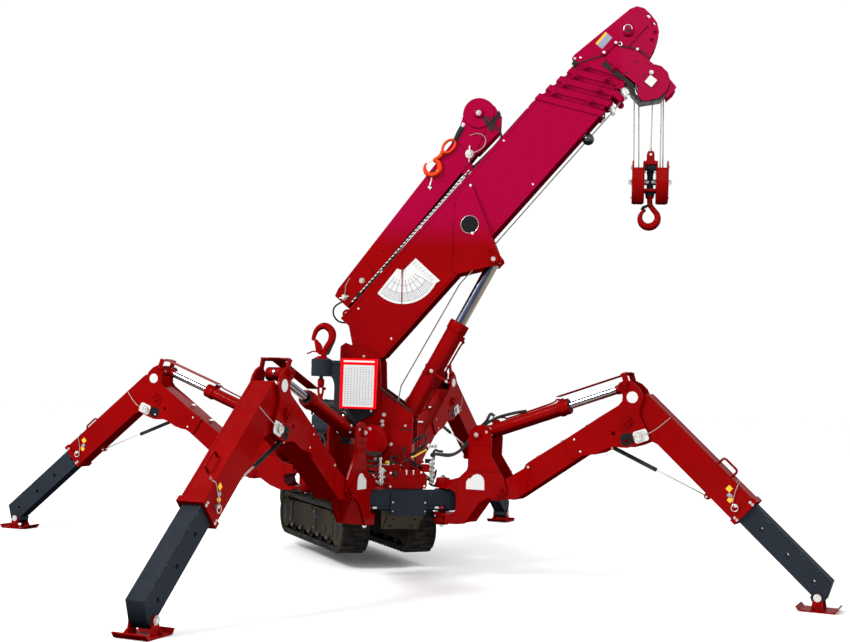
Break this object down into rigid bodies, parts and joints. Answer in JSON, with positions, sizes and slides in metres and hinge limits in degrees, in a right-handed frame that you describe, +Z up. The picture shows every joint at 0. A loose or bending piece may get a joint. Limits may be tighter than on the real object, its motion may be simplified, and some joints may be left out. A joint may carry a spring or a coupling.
{
  "type": "spider crane",
  "caption": "Mini crawler crane standing on four folding outriggers, with a slewing telescopic boom, derrick cylinder, hook block and rubber tracks.",
  "frame": {"origin": "on the ground, under the centre of the bounding box of the whole machine", "axes": "+X forward (bumper end of the carrier), +Y to the carrier's left, +Z up"},
  "size_m": [4.6174, 4.1217, 3.3298],
  "materials": {
    "red": "gloss",
    "charcoal": "satin",
    "chrome": "polished",
    "frame_grey": "dusty",
    "engine_grey": "satin",
    "rubber": "matte"
  },
  "bodies": {
    "carrier": {"chassis_frame": "red", "front_bumper": "charcoal", "outrigger_valve_cover": "red", "engine": "engine_grey", "rear_tank": "frame_grey", "track_frames": "frame_grey", "left_track": "rubber", "right_track": "rubber"},
    "outrigger_front_left_bracket": {"outrigger_front_left_bracket": "red"},
    "outrigger_front_left_inner_arm": {"outrigger_front_left_inner_arm": "red"},
    "outrigger_front_left_outer_arm": {"outrigger_front_left_outer_arm": "red"},
    "outrigger_front_left_extension": {"outrigger_front_left_extension": "charcoal"},
    "outrigger_front_left_pad": {"outrigger_front_left_pad": "red"},
    "outrigger_front_left_cylinder_barrel": {"outrigger_front_left_cylinder_barrel": "red"},
    "outrigger_front_left_cylinder_rod": {"outrigger_front_left_cylinder_rod": "chrome"},
    "outrigger_front_right_bracket": {"outrigger_front_right_bracket": "red"},
    "outrigger_front_right_inner_arm": {"outrigger_front_right_inner_arm": "red"},
    "outrigger_front_right_outer_arm": {"outrigger_front_right_outer_arm": "red"},
    "outrigger_front_right_extension": {"outrigger_front_right_extension": "charcoal"},
    "outrigger_front_right_pad": {"outrigger_front_right_pad": "red"},
    "outrigger_front_right_cylinder_barrel": {"outrigger_front_right_cylinder_barrel": "red"},
    "outrigger_front_right_cylinder_rod": {"outrigger_front_right_cylinder_rod": "chrome"},
    "outrigger_rear_left_bracket": {"outrigger_rear_left_bracket": "red"},
    "outrigger_rear_left_inner_arm": {"outrigger_rear_left_inner_arm": "red"},
    "outrigger_rear_left_outer_arm": {"outrigger_rear_left_outer_arm": "red"},
    "outrigger_rear_left_extension": {"outrigger_rear_left_extension": "charcoal"},
    "outrigger_rear_left_pad": {"outrigger_rear_left_pad": "red"},
    "outrigger_rear_left_cylinder_barrel": {"outrigger_rear_left_cylinder_barrel": "red"},
    "outrigger_rear_left_cylinder_rod": {"outrigger_rear_left_cylinder_rod": "chrome"},
    "outrigger_rear_right_bracket": {"outrigger_rear_right_bracket": "red"},
    "outrigger_rear_right_inner_arm": {"outrigger_rear_right_inner_arm": "red"},
    "outrigger_rear_right_outer_arm": {"outrigger_rear_right_outer_arm": "red"},
    "outrigger_rear_right_extension": {"outrigger_rear_right_extension": "charcoal"},
    "outrigger_rear_right_pad": {"outrigger_rear_right_pad": "red"},
    "outrigger_rear_right_cylinder_barrel": {"outrigger_rear_right_cylinder_barrel": "red"},
    "outrigger_rear_right_cylinder_rod": {"outrigger_rear_right_cylinder_rod": "chrome"},
    "upper_works": {"slewing_column": "red", "winch": "red", "load_chart_panel": "red", "stowed_hook": "charcoal"},
    "boom_base": {"boom_base": "red", "searcher_jib": "red"},
    "boom_section_2": {"boom_section_2": "red"},
    "boom_section_3": {"boom_section_3": "red"},
    "boom_section_4": {"boom_section_4": "red"},
    "boom_tip_section": {"boom_tip_section": "red"},
    "derrick_cylinder_barrel": {"derrick_cylinder_barrel": "red"},
    "derrick_cylinder_rod": {"derrick_cylinder_rod": "chrome"},
    "hook_block": {"hook_block": "red"},
    "hook": {"hook": "red"}
  },
  "joints": [
    {"name": "outrigger_front_left_swing", "type": "hinge", "parent": "carrier", "child": "outrigger_front_left_bracket", "pos_m": [0.6176, 0.2078, 0.5], "axis": [0, 0, 1], "range_deg": [-42.9, 27]},
    {"name": "outrigger_front_left_lift", "type": "hinge", "parent": "outrigger_front_left_bracket", "child": "outrigger_front_left_inner_arm", "pos_m": [0.88132, 0.45286, 0.492], "axis": [-0.6807, 0.7325, 0], "range_deg": [-32.79, 5]},
    {"name": "outrigger_front_left_fold", "type": "hinge", "parent": "outrigger_front_left_inner_arm", "child": "outrigger_front_left_outer_arm", "pos_m": [1.42865, 0.96148, 0.90969], "axis": [0.6807, -0.7325, 0], "range_deg": [-90, 0]},
    {"name": "outrigger_front_left_extend", "type": "slide", "parent": "outrigger_front_left_outer_arm", "child": "outrigger_front_left_extension", "axis": [0.5375, 0.4995, -0.6794], "range_m": [-0.364, 0.283]},
    {"name": "outrigger_front_left_pad_tilt", "type": "hinge", "parent": "outrigger_front_left_extension", "child": "outrigger_front_left_pad", "pos_m": [2.17392, 1.65402, 0.07], "axis": [-0.6807, 0.7325, 0], "range_deg": [-40, 40]},
    {"name": "outrigger_front_left_cylinder_tilt", "type": "hinge", "parent": "outrigger_front_left_bracket", "child": "outrigger_front_left_cylinder_barrel", "pos_m": [0.79414, 0.37185, 0.8135], "axis": [-0.6807, 0.7325, 0], "range_deg": [-37, 7]},
    {"name": "outrigger_front_left_cylinder_stroke", "type": "slide", "parent": "outrigger_front_left_cylinder_barrel", "child": "outrigger_front_left_cylinder_rod", "axis": [0.6912, 0.6423, 0.3311], "range_m": [-0.1915, 0.0309]},
    {"name": "outrigger_front_right_swing", "type": "hinge", "parent": "carrier", "child": "outrigger_front_right_bracket", "pos_m": [0.6176, -0.2682, 0.5], "axis": [0, 0, -1], "range_deg": [-44.6, 27]},
    {"name": "outrigger_front_right_lift", "type": "hinge", "parent": "outrigger_front_right_bracket", "child": "outrigger_front_right_inner_arm", "pos_m": [0.87393, -0.52098, 0.492], "axis": [0.7021, 0.712, 0], "range_deg": [-32.79, 5]},
    {"name": "outrigger_front_right_fold", "type": "hinge", "parent": "outrigger_front_right_inner_arm", "child": "outrigger_front_right_outer_arm", "pos_m": [1.40594, -1.04561, 0.90969], "axis": [-0.7021, -0.712, 0], "range_deg": [-90, 0]},
    {"name": "outrigger_front_right_extend", "type": "slide", "parent": "outrigger_front_right_outer_arm", "child": "outrigger_front_right_extension", "axis": [0.5225, -0.5152, -0.6794], "range_m": [-0.364, 0.283]},
    {"name": "outrigger_front_right_pad_tilt", "type": "hinge", "parent": "outrigger_front_right_extension", "child": "outrigger_front_right_pad", "pos_m": [2.13033, -1.75996, 0.07], "axis": [0.7021, 0.712, 0], "range_deg": [-40, 40]},
    {"name": "outrigger_front_right_cylinder_tilt", "type": "hinge", "parent": "outrigger_front_right_bracket", "child": "outrigger_front_right_cylinder_barrel", "pos_m": [0.7892, -0.43742, 0.8135], "axis": [0.7021, 0.712, 0], "range_deg": [-37, 7]},
    {"name": "outrigger_front_right_cylinder_stroke", "type": "slide", "parent": "outrigger_front_right_cylinder_barrel", "child": "outrigger_front_right_cylinder_rod", "axis": [0.6719, -0.6625, 0.3311], "range_m": [-0.1915, 0.0309]},
    {"name": "outrigger_rear_left_swing", "type": "hinge", "parent": "carrier", "child": "outrigger_rear_left_bracket", "pos_m": [-0.5384, 0.2078, 0.5], "axis": [0, 0, -1], "range_deg": [-46.4, 23]},
    {"name": "outrigger_rear_left_lift", "type": "hinge", "parent": "outrigger_rear_left_bracket", "child": "outrigger_rear_left_inner_arm", "pos_m": [-0.78666, 0.4685, 0.492], "axis": [-0.7242, -0.6896, 0], "range_deg": [-27.45, 5]},
    {"name": "outrigger_rear_left_fold", "type": "hinge", "parent": "outrigger_rear_left_inner_arm", "child": "outrigger_rear_left_outer_arm", "pos_m": [-1.27289, 0.97909, 0.9774], "axis": [0.7242, 0.6896, 0], "range_deg": [-90, 0]},
    {"name": "outrigger_rear_left_extend", "type": "slide", "parent": "outrigger_rear_left_outer_arm", "child": "outrigger_rear_left_extension", "axis": [-0.5474, 0.5749, -0.6081], "range_m": [-0.637, 0.01]},
    {"name": "outrigger_rear_left_pad_tilt", "type": "hinge", "parent": "outrigger_rear_left_extension", "child": "outrigger_rear_left_pad", "pos_m": [-2.17478, 1.92617, 0.07], "axis": [-0.7242, -0.6896, 0], "range_deg": [-40, 40]},
    {"name": "outrigger_rear_left_cylinder_tilt", "type": "hinge", "parent": "outrigger_rear_left_bracket", "child": "outrigger_rear_left_cylinder_barrel", "pos_m": [-0.7046, 0.38233, 0.8135], "axis": [-0.7242, -0.6896, 0], "range_deg": [-32, 7]},
    {"name": "outrigger_rear_left_cylinder_stroke", "type": "slide", "parent": "outrigger_rear_left_cylinder_barrel", "child": "outrigger_rear_left_cylinder_rod", "axis": [-0.6263, 0.6577, 0.4185], "range_m": [-0.1587, 0.0305]},
    {"name": "outrigger_rear_right_swing", "type": "hinge", "parent": "carrier", "child": "outrigger_rear_right_bracket", "pos_m": [-0.5384, -0.2682, 0.5], "axis": [0, 0, 1], "range_deg": [-48.7, 23]},
    {"name": "outrigger_rear_right_lift", "type": "hinge", "parent": "outrigger_rear_right_bracket", "child": "outrigger_rear_right_inner_arm", "pos_m": [-0.776, -0.53866, 0.492], "axis": [0.7513, -0.66, 0], "range_deg": [-30.87, 5]},
    {"name": "outrigger_rear_right_fold", "type": "hinge", "parent": "outrigger_rear_right_inner_arm", "child": "outrigger_rear_right_outer_arm", "pos_m": [-1.2596, -1.08912, 0.93456], "axis": [-0.7513, 0.66, 0], "range_deg": [-90, 0]},
    {"name": "outrigger_rear_right_extend", "type": "slide", "parent": "outrigger_rear_right_outer_arm", "child": "outrigger_rear_right_extension", "axis": [-0.4991, -0.5681, -0.6543], "range_m": [-0.455, 0.192]},
    {"name": "outrigger_rear_right_pad_tilt", "type": "hinge", "parent": "outrigger_rear_right_extension", "child": "outrigger_rear_right_pad", "pos_m": [-1.99473, -1.9259, 0.07], "axis": [0.7513, -0.66, 0], "range_deg": [-40, 40]},
    {"name": "outrigger_rear_right_cylinder_tilt", "type": "hinge", "parent": "outrigger_rear_right_bracket", "child": "outrigger_rear_right_cylinder_barrel", "pos_m": [-0.69746, -0.44925, 0.8135], "axis": [0.7513, -0.66, 0], "range_deg": [-35, 7]},
    {"name": "outrigger_rear_right_cylinder_stroke", "type": "slide", "parent": "outrigger_rear_right_cylinder_barrel", "child": "outrigger_rear_right_cylinder_rod", "axis": [-0.6151, -0.7001, 0.3626], "range_m": [-0.1797, 0.0308]},
    {"name": "slewing", "type": "hinge", "parent": "carrier", "child": "upper_works", "pos_m": [0.4496, -0.0302, 0.59], "axis": [0, 0, 1], "continuous": true},
    {"name": "boom_lift", "type": "hinge", "parent": "upper_works", "child": "boom_base", "pos_m": [0.3571, -0.19041, 1.22], "axis": [-0.866, 0.5, 0], "range_deg": [-28.4, 49.6]},
    {"name": "boom_section_2_slide", "type": "slide", "parent": "boom_base", "child": "boom_section_2", "axis": [0.3241, 0.5613, 0.7615], "range_m": [0, 1.48]},
    {"name": "boom_section_3_slide", "type": "slide", "parent": "boom_section_2", "child": "boom_section_3", "axis": [0.3241, 0.5613, 0.7615], "range_m": [0, 1.48]},
    {"name": "boom_section_4_slide", "type": "slide", "parent": "boom_section_3", "child": "boom_section_4", "axis": [0.3241, 0.5613, 0.7615], "range_m": [0, 1.48]},
    {"name": "boom_tip_section_slide", "type": "slide", "parent": "boom_section_4", "child": "boom_tip_section", "axis": [0.3241, 0.5613, 0.7615], "range_m": [0, 1.48]},
    {"name": "derrick_cylinder_tilt", "type": "hinge", "parent": "upper_works", "child": "derrick_cylinder_barrel", "pos_m": [0.4776, 0.0183, 0.88], "axis": [-0.866, 0.5, 0], "range_deg": [-26, 45]},
    {"name": "derrick_cylinder_stroke", "type": "slide", "parent": "derrick_cylinder_barrel", "child": "derrick_cylinder_rod", "axis": [0.2316, 0.4012, 0.8862], "range_m": [-0.3491, 0.2008]},
    {"name": "hook_block_hang", "type": "hinge", "parent": "boom_tip_section", "child": "hook_block", "pos_m": [1.1706, 1.21861, 2.9], "axis": [-0.866, 0.5, 0], "range_deg": [-51, 30]},
    {"name": "hook_swivel", "type": "hinge", "parent": "hook_block", "child": "hook", "pos_m": [1.1706, 1.21861, 2.2], "axis": [0, 0, 1], "continuous": true}
  ],
  "couplings": [
    {"joint": "outrigger_front_left_cylinder_tilt", "follows": "outrigger_front_left_lift", "ratio": 1.0902},
    {"joint": "outrigger_front_left_cylinder_stroke", "follows": "outrigger_front_left_lift", "m_per_rad": 0.33103},
    {"joint": "outrigger_front_right_cylinder_tilt", "follows": "outrigger_front_right_lift", "ratio": 1.0902},
    {"joint": "outrigger_front_right_cylinder_stroke", "follows": "outrigger_front_right_lift", "m_per_rad": 0.33103},
    {"joint": "outrigger_rear_left_cylinder_tilt", "follows": "outrigger_rear_left_lift", "ratio": 1.1168},
    {"joint": "outrigger_rear_left_cylinder_stroke", "follows": "outrigger_rear_left_lift", "m_per_rad": 0.32703},
    {"joint": "outrigger_rear_right_cylinder_tilt", "follows": "outrigger_rear_right_lift", "ratio": 1.0996},
    {"joint": "outrigger_rear_right_cylinder_stroke", "follows": "outrigger_rear_right_lift", "m_per_rad": 0.32976},
    {"joint": "boom_section_3_slide", "follows": "boom_section_2_slide", "ratio": 1},
    {"joint": "boom_section_4_slide", "follows": "boom_section_2_slide", "ratio": 1},
    {"joint": "boom_tip_section_slide", "follows": "boom_section_2_slide", "ratio": 1},
    {"joint": "derrick_cylinder_tilt", "follows": "boom_lift", "ratio": 0.873},
    {"joint": "derrick_cylinder_stroke", "follows": "boom_lift", "m_per_rad": -0.401},
    {"joint": "hook_block_hang", "follows": "boom_lift", "ratio": -1}
  ]
}
